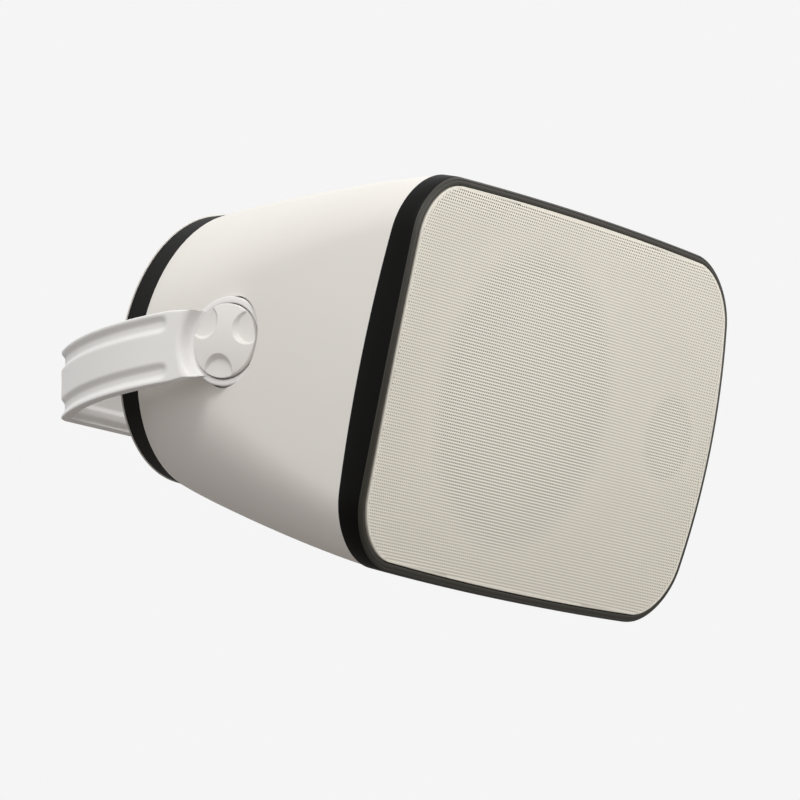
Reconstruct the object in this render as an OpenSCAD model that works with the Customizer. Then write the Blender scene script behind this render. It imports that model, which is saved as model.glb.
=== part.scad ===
// Weatherproof two-way loudspeaker on a U bracket.
// X runs across the front, -Y is forwards, Z is up. The origin is the middle of the
// face of the bracket that meets the wall. The cabinet hangs on two pivots in front of
// it and is shown nodding downwards.

/* [Front] */
// Width of the front at its widest
face_w = 290; // [286:2:310]
// Height of the front at its tallest
face_h = 190; // [188:1:206]
// Radius of the corners of the front
corner_r = 30; // [26:1:36]
// How far the left and right sides bow out
side_bow = 8; // [4:1:12]
// How far the top and bottom bow out
top_bow = 3; // [1:0.5:5]
// How far the top and bottom edges of the front fall back
crown_v = 5.6; // [3:0.2:7]
// How far the left and right edges of the front fall back
crown_h = 0.8; // [0:0.2:2]

/* [Bezel and grille] */
// Depth of the black band round the front
bezel_depth = 17.3; // [15:0.1:20]
// How far the bezel stands out past the shell
bezel_proud = 0.6; // [0.2:0.1:1]
// Width of the dark lip round the grille
lip_w = 3.2; // [2.4:0.2:4]
// How far the grille stands in front of the lip
grille_proud = 0.8; // [0.4:0.1:1.4]
// Thickness of the grille sheet
grille_t = 1.2; // [0.8:0.1:1.6]
// Depth of the turned edge of the grille
grille_edge = 5; // [4:0.5:6]

/* [Cabinet shell] */
// Length of the tapering shell
shell_len = 187.6; // [180:0.4:200]
// Outer radius of the round back end
rear_r = 71; // [68:0.5:74]
// Wall of the shell
wall = 3.2; // [2.6:0.2:3.6]
// How quickly the width closes to the round end, 1 is straight
taper_x = 1.04; // [1:0.02:1.2]
// How quickly the height closes to the round end, 1 is straight
taper_z = 1.14; // [1:0.02:1.3]

/* [Rear cover] */
// Depth of the black band at the back
band_len = 12.9; // [10:0.1:15]
// Taper of the black band
band_taper = 2.8; // [1.5:0.1:3.5]
// Height of the slightly domed cover
cover_dome = 2.2; // [1:0.2:3]
// Thickness of the cover
cover_t = 3; // [2.4:0.2:3.6]

/* [Bracket] */
// From the wall to the pivot
reach = 137; // [137:0.5:145]
// Half of the distance across the arms at the pivots
arm_half = 114.4; // [114:0.2:119]
// Width of the strap
strap_w = 35.4; // [34:0.2:38]
// Thickness of the strap
strap_t = 4; // [3.4:0.2:4.2]
// Radius of the long bow of the arms
arm_bow_r = 180; // [176:1:200]
// Outer radius of the bends at the wall
bend_r = 9; // [8.5:0.5:12]
// Depth of the pressed grooves
groove_d = 1.8; // [1:0.1:2]
// Distance between the two outer wall holes
wall_hole_gap = 60; // [50:2:70]
// Radius of the outer wall holes
wall_hole_r = 3.3; // [2.6:0.1:3.6]
// Radius of the middle wall hole
mid_hole_r = 4.2; // [3.2:0.1:4.6]

/* [Pivot] */
// Downward tilt of the cabinet as shown
tilt = 14; // [0:1:40]
// From the front of the grille to the pivot
pivot_back = 124.6; // [121:0.4:127]
// Outer radius of the ring at the end of each arm
ring_r = 21.8; // [21.2:0.1:24]
// Radius of the knobs
knob_r = 18.1; // [17:0.1:18.6]
// Radius of the threaded studs
stud_r = 4; // [3:0.1:5]
// Outer radius of the brass bushes
bush_r = 7; // [6.4:0.1:8]
// Radius of the round pads that carry the bushes
boss_r = 19; // [16:0.5:21]

/* [Drivers] */
// From the middle of the woofer to the middle of the tweeter
driver_gap = 124; // [123:0.5:126]
// Outer radius of the woofer frame
woofer_r = 82; // [80:0.5:83]
// From the middle of the tweeter to the side of the front
tweeter_in = 45; // [44:0.5:47]
// Outer radius of the tweeter plate
tweeter_r = 30; // [28:0.5:31]
// Thickness of the baffle
baffle_t = 10; // [8:0.5:12]
// Radius of the magnet of the woofer
magnet_r = 45; // [40:1:50]

/* [Hidden] */
$fn = 96;

shell_white = [0.89, 0.875, 0.85];
bezel_black = [0.13, 0.13, 0.13];
strap_white = [0.83, 0.82, 0.81];
steel = [0.62, 0.63, 0.65];
brass = [0.78, 0.62, 0.3];
rubber_black = [0.1, 0.1, 0.1];
paper_grey = [0.2, 0.2, 0.21];

half_w = face_w / 2;
tweeter_x = half_w - tweeter_in;
woofer_x = tweeter_x - driver_gap;
half_h = face_h / 2;
eps = 0.01;

// Depths are counted backwards from the middle of the grille
shell_front = bezel_depth;
shell_back = shell_front + shell_len;
band_back = shell_back + band_len;
cover_r = rear_r - band_taper - 0.4;
cover_in_r = rear_r - 11.5;
spigot_back = shell_front + 6.7;
spigot_clear = 0.4;
baffle_back = spigot_back + baffle_t;

// Outline of the front

// Steps round each corner, and points along the long and short sides
corner_steps = 10;
long_points = 8;
short_points = 6;

function corner(cx, cz, r, a0) = [
    for (i = [0 : corner_steps])
        [cx + r * cos(a0 + 90 * i / corner_steps), cz + r * sin(a0 + 90 * i / corner_steps)]
];
function between(a, b, n) = [for (i = [1 : n]) a + (b - a) * i / (n + 1)];
function straight_outline(w, h, r) =
    let (c0 = corner(w - r, h - r, r, 0), c1 = corner(r - w, h - r, r, 90),
         c2 = corner(r - w, r - h, r, 180), c3 = corner(w - r, r - h, r, 270))
    concat(c0, between(c0[corner_steps], c1[0], long_points),
           c1, between(c1[corner_steps], c2[0], short_points),
           c2, between(c2[corner_steps], c3[0], long_points),
           c3, between(c3[corner_steps], c0[0], short_points));

// Half sizes at the corners for an outline that lies inside the edge by ix and iz
function base_w(ix) = half_w - side_bow - ix;
function base_h(iz) = half_h - top_bow - iz;
function bowed(p, w, h) = [
    p.x * (1 + side_bow / w * (1 - pow(p.y / h, 2))),
    p.y * (1 + top_bow / h * (1 - pow(p.x / w, 2)))
];
function rounded(ix, iz, r) = let (w = base_w(ix), h = base_h(iz))
    [for (p = straight_outline(w, h, r)) bowed(p, w, h)];
function outline(ix, iz) = rounded(ix, iz, corner_r - min(ix, iz));
function inset(i) = outline(i, i);
// Height of the top edge of an inset outline at a place across the front
function edge_z(x, i) = base_h(i) + top_bow * (1 - pow(x / base_w(i), 2));
// How far a point of the front has fallen back
function crown(x, z) = crown_v * pow(z / half_h, 2) + crown_h * pow(x / half_w, 2);
function crowned(ring, y, share = 1) = [for (p = ring) [p.x, y + share * crown(p.x, p.y), p.y]];

// Solids from rows of points

function quad(a, b, c, d) = [[a, b, c], [a, c, d]];
// Faces between ring j and ring k of n points each
function wall_faces(j, k, n) = [
    for (i = [0 : n - 1])
        each quad(j * n + i, j * n + (i + 1) % n, k * n + (i + 1) % n, k * n + i)
];
// A closed tube whose rings also close on each other, as a frame or a hollow shell does
module ring_sweep(rings) {
    n = len(rings[0]);
    m = len(rings);
    polyhedron([for (r = rings) each r], [for (j = [0 : m - 1]) each wall_faces(j, (j + 1) % m, n)],
               convexity = 6);
}
// A skin through rings with a point at the middle of the first and of the last one
module dome_sweep(rings) {
    n = len(rings[0]);
    m = len(rings);
    first = n * m;
    last = first + 1;
    points = concat([for (r = rings) each r],
                    [[0, rings[0][0].y - crown(rings[0][0].x, rings[0][0].z), 0],
                     [0, rings[m - 1][0].y - crown(rings[m - 1][0].x, rings[m - 1][0].z), 0]]);
    polyhedron(points, concat([for (j = [0 : m - 2]) each wall_faces(j, j + 1, n)],
                              [for (i = [0 : n - 1]) [first, (i + 1) % n, i]],
                              [for (i = [0 : n - 1]) [last, (m - 1) * n + i, (m - 1) * n + (i + 1) % n]]),
               convexity = 6);
}
// A bar through sections, closed at both ends
module bar_sweep(sections) {
    n = len(sections[0]);
    m = len(sections);
    polyhedron([for (s = sections) each s],
               concat([for (j = [0 : m - 2]) each wall_faces(j, j + 1, n)],
                      [[for (i = [n - 1 : -1 : 0]) i], [for (i = [0 : n - 1]) (m - 1) * n + i]]),
               convexity = 10);
}

// Frames of reference

// From the middle of the grille, depth along +Y, to the place of the cabinet on the bracket
module on_pivots() {
    translate([0, -reach, 0]) rotate([tilt, 0, 0]) translate([0, -pivot_back, 0]) children();
}
// A turned piece whose profile is [radius, depth]
module turned(profile, fn = 96) {
    rotate([-90, 0, 0]) rotate_extrude($fn = fn) polygon(profile);
}
module disc(r, y0, y1, fn = 64) {
    translate([0, y0, 0]) rotate([-90, 0, 0]) cylinder(r = r, h = y1 - y0, $fn = fn);
}
// A flat plate from a front outline, between two depths
module plate(ring, y0, y1) {
    translate([0, y1, 0]) rotate([90, 0, 0]) linear_extrude(y1 - y0) polygon(ring);
}
// A screw whose head starts at y = 0 and whose shank runs along +Y
module screw(head_r, head_h, shank_r, shank_len) {
    disc(head_r, -head_h, 0, 24);
    disc(shank_r, -eps, shank_len, 24);
}
module both_sides() {
    children();
    mirror([1, 0, 0]) children();
}

// Cabinet shell

shell_steps = 9;
// How quickly the bow of the sides fades and the corners open towards the round end
bow_fade = 0.56;
taper_r = 1.18;
round_share = 0.93;
function mixed(a, b, t) = a + (b - a) * t;
// One ring of the shell, s runs from 0 at the front to 1 at the round end
function side_points(s, in) =
    let (w = mixed(base_w(0), rear_r, pow(s, taper_x)) - in, h = mixed(base_h(0), rear_r, pow(s, taper_z)) - in,
         r = mixed(corner_r, rear_r, pow(s, taper_r)) - in, f = pow(1 - s, bow_fade))
    [for (p = straight_outline(w, h, r))
        [p.x * (1 + f * side_bow / w * (1 - pow(p.y / h, 2))), p.y * (1 + f * top_bow / h * (1 - pow(p.x / w, 2)))]];
function round_points(r) = [for (p = straight_outline(r, r, round_share * r)) p * r / norm(p)];
function shell_ring(s, in) = let (ring = s < 0.999 ? side_points(s, in) : round_points(rear_r - in))
    [for (p = ring) [p.x, shell_front + shell_len * s, p.y]];

// Places across the pivot, counted from the middle of the cabinet
lip_out = arm_half - 6.6;
knob_edge = arm_half - 4.6;
ring_t = 8;
ring_in = lip_out - ring_t;
ring_floor = 3;
floor_out = ring_in + ring_floor;
washer_t = 1.5;
boss_out = ring_in - washer_t - 0.1;
pocket_r = ring_r + 0.7;
knob_gap = 0.2;
bush_in = boss_out - 18;
bush_out = floor_out - 0.3;
run_clear = 0.05;

module at_pivot() {
    translate([0, pivot_back, 0]) rotate([0, -90, 0]) children();
}

// The whole outside of the shell as one block, to trim the cups of the pivots with
module shell_block() {
    rings = [for (k = [0 : shell_steps]) shell_ring(k / shell_steps, 0)];
    bar_sweep(rings);
}
module cabinet_shell() color(shell_white) on_pivots() difference() {
    union() {
        ring_sweep(concat([for (k = [0 : shell_steps]) shell_ring(k / shell_steps, 0)],
                          [for (k = [shell_steps : -1 : 0]) shell_ring(k / shell_steps, wall)]));
        intersection() {
            shell_block();
            both_sides() at_pivot() translate([0, 0, boss_out - wall])
                cylinder(r = pocket_r + wall - 0.4, h = 40);
        }
        both_sides() at_pivot() translate([0, 0, bush_in + 4]) cylinder(r = bush_r + 4, h = 16);
    }
    both_sides() at_pivot() translate([0, 0, boss_out]) cylinder(r = pocket_r, h = 40);
    both_sides() at_pivot() translate([0, 0, bush_in - 1]) cylinder(r = bush_r + 0.02, h = 60);
}

// Front bezel

pocket_in = lip_w + 0.2;
flange_in = 9.6;
pocket_y = grille_edge + 0.2;
lip_round = 1.4;

module front_bezel() color(bezel_black) on_pivots() difference() {
    ring_sweep([
        crowned(inset(wall + spigot_clear), bezel_depth, 0),
        crowned(rounded(wall + 2.8, wall + 1, corner_r - 2), spigot_back, 0),
        crowned(inset(flange_in), spigot_back, 0),
        crowned(inset(flange_in), pocket_y),
        crowned(inset(pocket_in), pocket_y),
        crowned(inset(lip_w), grille_proud),
        crowned(inset(-bezel_proud + lip_round), grille_proud),
        crowned(inset(-bezel_proud + 0.3 * lip_round), grille_proud + 0.6 * lip_round),
        crowned(inset(-bezel_proud), grille_proud + 1.6 * lip_round),
        crowned(inset(-bezel_proud), bezel_depth, 0)
    ]);
    for (p = baffle_screw_places) translate([p.x, 0, p.y]) disc(1.45, spigot_back - 8, spigot_back + eps, 24);
}

// Grille

grille_in = lip_w + 0.4;
grille_steps = 4;
function scaled(ring, k) = [for (p = ring) p * k];

module grille() color(strap_white) on_pivots() {
    edge = inset(grille_in);
    back = inset(grille_in + grille_t);
    dome_sweep(concat(
        [for (k = [1 : grille_steps]) crowned(scaled(edge, k / (grille_steps + 0.12)), 0)],
        [crowned(edge, 0.5), crowned(edge, grille_edge), crowned(back, grille_edge)],
        [for (k = [grille_steps : -1 : 1]) crowned(scaled(back, k / (grille_steps + 0.02)), grille_t)]));
}

// Baffle

baffle_ix = 9.2;
baffle_iz = 5.2;
screw_in = 7.3;
baffle_screw_x = [for (k = [-0.33, -0.13, 0.13, 0.33]) k * face_w];
baffle_screw_places = [
    for (x = baffle_screw_x, side = [-1, 1]) [x, side * edge_z(x, screw_in)]
];
cutout_r = woofer_r - 8;
tweeter_hole_r = 19;
woofer_screw_r = woofer_r - 4;
woofer_screw_angles = [30 : 60 : 330];
tweeter_screw_r = tweeter_r - 4;
tweeter_screw_angles = [45 : 90 : 315];

module at_woofer() { translate([woofer_x, 0, 0]) children(); }
module at_tweeter() { translate([tweeter_x, 0, 0]) children(); }
module around(radius, angles) {
    for (a = angles) translate([radius * cos(a), 0, radius * sin(a)]) children();
}

module baffle() color(shell_white) on_pivots() difference() {
    plate(rounded(baffle_ix, baffle_iz, corner_r), spigot_back, baffle_back);
    at_woofer() disc(cutout_r, spigot_back - 1, baffle_back + 1);
    at_tweeter() disc(tweeter_hole_r, spigot_back - 1, baffle_back + 1);
    at_woofer() around(woofer_screw_r, woofer_screw_angles) disc(1.5, spigot_back - 1, baffle_back - 1.5, 24);
    at_tweeter() around(tweeter_screw_r, tweeter_screw_angles) disc(1.5, spigot_back - 1, baffle_back - 1.5, 24);
    for (p = baffle_screw_places) translate([p.x, 0, p.y]) disc(1.7, spigot_back - 1, baffle_back + 1, 24);
}

module baffle_screws() color(steel) on_pivots()
    for (p = baffle_screw_places)
        translate([p.x, baffle_back, p.y]) mirror([0, 1, 0]) screw(2.1, 1.6, 1.4, baffle_t + 7.5);

// Woofer, a frame with a cone on a rubber surround and a cloth spider

frame_t = 3;
frame_front = spigot_back - frame_t;
frame_back = spigot_back + 33;
plate_t = 5;
magnet_t = 15;
coil_r = 13.2;
former_t = 0.4;
gap_r = coil_r + former_t + 0.6;
pole_r = coil_r - 0.6;
neck_r = magnet_r - 3;
window_w = 17;
window_h = 14;
spider_y = frame_back - 10;
roll_out = woofer_r - 10;
roll_in = roll_out - 13;
roll_y = frame_front;
cone_t = 0.8;
cone_neck_y = spider_y - 5;

module woofer_frame() color(paper_grey) on_pivots() at_woofer() difference() {
    turned([[roll_out - 1, frame_front], [woofer_r, frame_front], [woofer_r, spigot_back],
            [cutout_r - 1, spigot_back], [cutout_r - 2, spigot_back + 6], [neck_r + 2, frame_back - 8],
            [neck_r + 2, frame_back], [16, frame_back], [16, frame_back - 2.5], [neck_r - 1, frame_back - 2.5],
            [neck_r - 1, spider_y + 0.5], [neck_r - 5, spider_y + 0.5], [neck_r - 5, spider_y - 1.5],
            [neck_r - 0.5, spider_y - 1.5], [roll_out - 5, spigot_back + 4], [roll_out - 3, frame_front + 2],
            [roll_out - 1, frame_front + 2]]);
    // Six windows between the arms of the frame
    for (a = [0 : 60 : 300]) rotate([0, a, 0]) translate([0, spigot_back + 14, 0])
        rotate([0, 0, 90]) rotate([0, 90, 0]) rotate([-90, 0, 0])
            translate([-window_w / 2, -window_w / 2, neck_r - 2]) cube([window_w, window_h, woofer_r - 22]);
    around(woofer_screw_r, woofer_screw_angles) disc(1.9, frame_front - 1, spigot_back + 1, 24);
}

module woofer_gasket() color(rubber_black) on_pivots() at_woofer() difference() {
    turned([[roll_out + 1.6, frame_front - 1.2], [woofer_r - 0.5, frame_front - 1.2],
            [woofer_r - 0.5, frame_front], [roll_out + 1.6, frame_front]]);
    around(woofer_screw_r, woofer_screw_angles) disc(3.6, frame_front - 2, frame_front + 1, 24);
}

// Half roll from r0 to r1 that stands forward of y by its own radius
function roll(r0, r1, y, grow, steps = 8) = let (c = (r0 + r1) / 2, q = (r1 - r0) / 2 - 1 + grow)
    [for (i = [0 : steps]) let (a = 180 * i / steps) [c + q * cos(a), y - q * sin(a)]];
module woofer_surround() color(rubber_black) on_pivots() at_woofer()
    turned(concat([[roll_out + 1.4, frame_front], [roll_out + 1.4, frame_front - 0.8]],
                  roll(roll_in, roll_out, roll_y - 0.8, 0), [[roll_in - 1.5, roll_y - 0.8], [roll_in - 1.5, roll_y]],
                  [for (i = [8 : -1 : 0]) roll(roll_in, roll_out, roll_y, -0.8)[i]]));

module woofer_cone() color(paper_grey) on_pivots() at_woofer()
    turned([[coil_r + former_t, cone_neck_y], [roll_in - 2, roll_y], [roll_in + 0.1, roll_y],
            [roll_in + 0.1, roll_y + cone_t], [roll_in - 1.6, roll_y + cone_t + 0.2],
            [coil_r + former_t, cone_neck_y + 2 * cone_t]]);

module woofer_dust_cap() color(paper_grey) on_pivots() at_woofer() {
    cap_r = 19;
    seat_y = cone_neck_y - (cone_neck_y - roll_y) * (cap_r - coil_r - former_t) / (roll_in - 2 - coil_r - former_t);
    rise = 6;
    ball = (cap_r * cap_r + rise * rise) / (2 * rise);
    turned(concat([for (i = [0 : 8]) let (x = cap_r * i / 8) [x, seat_y + ball - rise - sqrt(ball * ball - x * x)]],
                  [for (i = [8 : -1 : 0]) let (x = (cap_r - 0.6) * i / 8)
                      [x, seat_y + ball - rise - sqrt(ball * ball - x * x) + 0.7]]));
}

// Ripples of the spider between the coil and the frame
spider_r0 = coil_r + former_t;
spider_r1 = neck_r - 2;
spider_steps = 24;
function ripple(t, y) = [spider_r0 + (spider_r1 - spider_r0) * t, y + 1.2 * sin(360 * 3 * t)];
module woofer_spider() color([0.75, 0.55, 0.3]) on_pivots() at_woofer()
    turned(concat([for (i = [0 : spider_steps]) ripple(i / spider_steps, spider_y - 2.2)],
                  [for (i = [spider_steps : -1 : 0]) ripple(i / spider_steps, spider_y - 1.5)]));

module woofer_voice_coil() color([0.72, 0.45, 0.2]) on_pivots() at_woofer()
    turned([[coil_r, spider_y - 6], [coil_r + former_t, spider_y - 6], [coil_r + former_t, frame_back + 9],
            [coil_r, frame_back + 9]]);

module woofer_top_plate() color(steel) on_pivots() at_woofer()
    turned([[gap_r, frame_back], [neck_r, frame_back], [neck_r, frame_back + plate_t], [gap_r, frame_back + plate_t]]);

module woofer_magnet() color([0.18, 0.18, 0.19]) on_pivots() at_woofer()
    turned([[gap_r + 8, frame_back + plate_t], [magnet_r, frame_back + plate_t],
            [magnet_r, frame_back + plate_t + magnet_t], [gap_r + 8, frame_back + plate_t + magnet_t]]);

module woofer_yoke() color(steel) on_pivots() at_woofer() {
    y0 = frame_back + plate_t + magnet_t;
    turned([[3, frame_back - 1], [pole_r, frame_back - 1], [pole_r, y0], [neck_r, y0],
            [neck_r, y0 + plate_t - 1], [neck_r - 1, y0 + plate_t], [3, y0 + plate_t]]);
}

module woofer_screws() color(steel) on_pivots() at_woofer()
    around(woofer_screw_r, woofer_screw_angles) translate([0, frame_front, 0]) screw(3.2, 2, 1.45, frame_t + baffle_t - 2);

// Tweeter

tweeter_t = 3;
dome_r = 12.5;

module tweeter_plate() color(bezel_black) on_pivots() at_tweeter() difference() {
    turned([[dome_r + 1.8, spigot_back - 1.2], [dome_r + 6, spigot_back - tweeter_t],
            [tweeter_r, spigot_back - tweeter_t], [tweeter_r, spigot_back], [tweeter_hole_r - 1, spigot_back],
            [tweeter_hole_r - 1, spigot_back + 3], [dome_r + 1.8, spigot_back + 3]]);
    around(tweeter_screw_r, tweeter_screw_angles) disc(1.8, spigot_back - tweeter_t - 1, spigot_back + 1, 24);
}

// Face of the tweeter dome, from the middle out to r
tweeter_rise = 6;
tweeter_ball = (dome_r * dome_r + tweeter_rise * tweeter_rise) / (2 * tweeter_rise);
tweeter_base = spigot_back + 2;
function tweeter_cap(r, lift) = [for (i = [0 : 8]) let (x = r * i / 8)
    [x, tweeter_base + tweeter_ball - tweeter_rise - sqrt(tweeter_ball * tweeter_ball - x * x) + lift]];
module tweeter_dome() color([0.3, 0.3, 0.32]) on_pivots() at_tweeter() {
    inner = tweeter_cap(dome_r - 0.4, 0.4);
    turned(concat(tweeter_cap(dome_r, 0),
                  [[dome_r + 1.7, tweeter_base], [dome_r + 1.7, tweeter_base + 1], [dome_r - 0.4, tweeter_base + 1]],
                  [for (i = [8 : -1 : 0]) inner[i]]));
}

module tweeter_magnet() color([0.18, 0.18, 0.19]) on_pivots() at_tweeter()
    turned([[0, spigot_back + 3.2], [dome_r - 1, spigot_back + 3.2], [dome_r - 1, spigot_back + 5],
            [dome_r + 2, spigot_back + 5], [dome_r + 2, spigot_back + 3], [tweeter_hole_r - 1.2, spigot_back + 3],
            [tweeter_hole_r - 1.2, spigot_back + 20], [tweeter_hole_r - 2.2, spigot_back + 21], [0, spigot_back + 21]]);

module tweeter_screws() color(steel) on_pivots() at_tweeter()
    around(tweeter_screw_r, tweeter_screw_angles)
        translate([0, spigot_back - tweeter_t, 0]) screw(2.8, 1.6, 1.45, tweeter_t + baffle_t - 2);

// Damping pad that lines the shell

pad_t = 8;
pad_from = 0.24;
pad_to = 0.78;
pad_steps = 3;
module damping_pad() color([0.75, 0.73, 0.68]) on_pivots() difference() {
    ring_sweep(concat(
        [for (k = [0 : pad_steps]) shell_ring(pad_from + (pad_to - pad_from) * k / pad_steps, wall + 0.5)],
        [for (k = [pad_steps : -1 : 0]) shell_ring(pad_from + (pad_to - pad_from) * k / pad_steps, wall + pad_t)]));
    both_sides() at_pivot() cylinder(r = pocket_r + wall + 1, h = arm_half);
}

// Rear band and cover

screw_ring_r = cover_in_r + 3.5;
cover_screw_angles = [45 : 90 : 315];
gland_z = 36;
gland_r = 8;
post_x = 38;
post_z = 26;
board_y = shell_back - 22;
board_t = 1.6;
board_w = 92;
board_h = 68;
core_w = 44;
core_d = 34;
core_h = 36;
coil_w = core_w - 10;
coil_h = core_h + 10;

module rear_band() color(rubber_black) on_pivots() difference() {
    turned([[rear_r, shell_back], [rear_r - band_taper, band_back], [cover_in_r, band_back],
            [cover_in_r, shell_back - 6], [rear_r - wall - 0.4, shell_back - 6], [rear_r - wall - 0.4, shell_back]]);
    around(screw_ring_r, cover_screw_angles) disc(1.5, shell_back - 4, band_back + 1, 24);
}

cover_rim = 1;
cover_face = band_back + cover_rim + cover_dome;
module rear_cover() color(shell_white) on_pivots() difference() {
    union() {
        turned([[0, band_back + cover_rim + cover_dome - cover_t], [cover_in_r - 3, band_back + 0.2],
                [cover_in_r - 3, band_back - 4], [cover_in_r - 0.4, band_back - 4], [cover_in_r - 0.4, band_back],
                [cover_r, band_back], [cover_r, band_back + 0.4 * cover_rim], [cover_r - 0.6, band_back + cover_rim],
                [cover_r * 0.75, band_back + cover_rim + cover_dome * 0.5],
                [cover_r * 0.4, band_back + cover_rim + cover_dome * 0.87], [0, cover_face]]);
        translate([0, 0, gland_z]) disc(gland_r + 3.5, band_back + 0.5, cover_face);
        for (sx = [-1, 1], sz = [-1, 1]) translate([sx * post_x, 0, sz * post_z])
            disc(3.6, board_y + board_t, band_back + 1.4, 32);
    }
    translate([0, 0, gland_z]) disc(6.05, band_back - 5, cover_face + 1);
    around(screw_ring_r, cover_screw_angles) disc(1.7, band_back - 5, cover_face + 1, 24);
    around(screw_ring_r, cover_screw_angles) disc(3.4, band_back + 0.6, cover_face + 1, 24);
    for (sx = [-1, 1], sz = [-1, 1]) translate([sx * post_x, 0, sz * post_z])
        disc(1.3, board_y, board_y + board_t + 8, 24);
}

module rear_cover_screws() color(steel) on_pivots()
    around(screw_ring_r, cover_screw_angles) translate([0, band_back + 0.6, 0]) mirror([0, 1, 0]) {
        disc(3.1, -0.9, 0, 24);
        disc(1.4, -eps, 14, 24);
    }

// Crossover and transformer on the inside of the cover

module crossover_board() color([0.1, 0.35, 0.2]) on_pivots() difference() {
    translate([-board_w / 2, board_y, -board_h / 2]) cube([board_w, board_t, board_h]);
    for (sx = [-1, 1], sz = [-1, 1]) translate([sx * post_x, 0, sz * post_z]) disc(1.6, board_y - 1, board_y + 3, 24);
    translate([0, 0, gland_z]) disc(gland_r + 5, board_y - 1, board_y + 3);
}

module crossover_inductor() color([0.72, 0.45, 0.2]) on_pivots() translate([-27, 0, 4])
    turned([[5, board_y - 16], [13, board_y - 16], [13, board_y - 14.5], [11.5, board_y - 14.5], [11.5, board_y - 1.5],
            [13, board_y - 1.5], [13, board_y], [5, board_y]]);

module crossover_capacitors() color([0.2, 0.25, 0.45]) on_pivots() {
    for (x = [-36, -18]) translate([x, 0, -22]) disc(7, board_y - 22, board_y, 48);
}

module line_transformer() color([0.35, 0.35, 0.37]) on_pivots() {
    translate([-4, board_y - core_d, -24]) cube([core_w, core_d, core_h]);
    translate([1, board_y - core_d + 3, -29]) cube([coil_w, core_d - 6, coil_h]);
}

module terminal_block() color([0.2, 0.45, 0.3]) on_pivots() difference() {
    translate([-12, board_y - 12, 17.5]) cube([30, 12, 10]);
    for (k = [0 : 3]) translate([-8 + 7.3 * k, 0, 22.5]) disc(1.6, board_y - 13, board_y - 4, 24);
}

// Cable gland, with no cable in it

gland_bore = 3.4;
module cable_gland() color(bezel_black) on_pivots() translate([0, 0, gland_z]) difference() {
    union() {
        disc(gland_r, cover_face, cover_face + 2.4, 6);
        disc(6, cover_face - 12, cover_face + 5.5);
    }
    disc(gland_bore, cover_face - 13, cover_face + 2.5);
    disc(4.6, cover_face + 1.9, cover_face + 6);
}
module gland_seal() color(rubber_black) on_pivots() translate([0, 0, gland_z])
    turned([[gland_bore, cover_face + 2], [4.5, cover_face + 2], [4.5, cover_face + 6.6], [gland_bore, cover_face + 6.6]], 48);
module gland_cap() color(bezel_black) on_pivots() translate([0, 0, gland_z])
    turned([[6.1, cover_face + 2.6], [gland_r, cover_face + 2.6], [gland_r, cover_face + 6], [gland_r - 2.4, cover_face + 8],
            [gland_bore + 0.5, cover_face + 8], [gland_bore + 0.5, cover_face + 6.7], [6.1, cover_face + 6.7]], 64);
module gland_nut() color(bezel_black) on_pivots() translate([0, 0, gland_z]) difference() {
    disc(gland_r, cover_face - 10.2, cover_face - 6.4, 6);
    disc(6.05, cover_face - 11, cover_face);
}

// Pivot bushes, washers, studs and knobs

module pivot_bush() color(brass) on_pivots() at_pivot() difference() {
    translate([0, 0, bush_in]) cylinder(r = bush_r, h = bush_out - bush_in);
    translate([0, 0, bush_in - 1]) cylinder(r = stud_r + run_clear, h = bush_out - bush_in + 2);
}
module friction_washer() color(rubber_black) on_pivots() at_pivot() difference() {
    translate([0, 0, boss_out]) cylinder(r = boss_r - 1, h = washer_t);
    translate([0, 0, boss_out - 1]) cylinder(r = bush_r + 0.3, h = washer_t + 2);
}
module stud() color(steel) on_pivots() at_pivot()
    translate([0, 0, bush_in + 2]) cylinder(r = stud_r, h = floor_out + 2.6 - bush_in - 2);

knob_dome = 1.8;
scoop_r = 14;
scoop_at = knob_r - 0.4;
scoop_depth = 4.4;
knob_ball = (knob_r * knob_r + knob_dome * knob_dome) / (2 * knob_dome);
module knob(turn) color(strap_white) on_pivots() at_pivot() difference() {
    rotate_extrude() polygon(concat(
        [[0, floor_out + knob_gap], [knob_r - 0.6, floor_out + knob_gap], [knob_r, floor_out + knob_gap + 0.6]],
        [for (i = [8 : -1 : 0]) let (x = knob_r * i / 8)
            [x, knob_edge + knob_dome - knob_ball + sqrt(knob_ball * knob_ball - x * x)]]));
    for (a = [0, 120, 240]) rotate([0, 0, turn + a])
        translate([scoop_at, 0, knob_edge + scoop_r - scoop_depth + 0.8]) sphere(r = scoop_r);
    translate([0, 0, floor_out]) cylinder(r = stud_r, h = 2.6 + eps);
}

module bush_left() pivot_bush();
module bush_right() mirror([1, 0, 0]) pivot_bush();
module friction_washer_left() friction_washer();
module friction_washer_right() mirror([1, 0, 0]) friction_washer();
module stud_left() stud();
module stud_right() mirror([1, 0, 0]) stud();
module knob_left() knob(knob_turn);
module knob_right() mirror([1, 0, 0]) knob(knob_turn);
knob_turn = 62;

// Bracket, one strap that is drawn round the back of the cabinet

// The bow of the arm starts a little behind the pivot
bow_from = 8;
// Middle of the bend, counted from the middle of the bracket
bend_x = arm_half - arm_bow_r + sqrt(pow(arm_bow_r - bend_r, 2) - pow(reach - bend_r - bow_from, 2));
bow_end = asin((reach - bend_r - bow_from) / (arm_bow_r - bend_r));
neck_at = 13;
neck_half = strap_w / 2 * 0.915;
groove_from = 31;
groove_run = 4;
neck_share = 0.915;
rise_share = 0.16;

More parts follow.
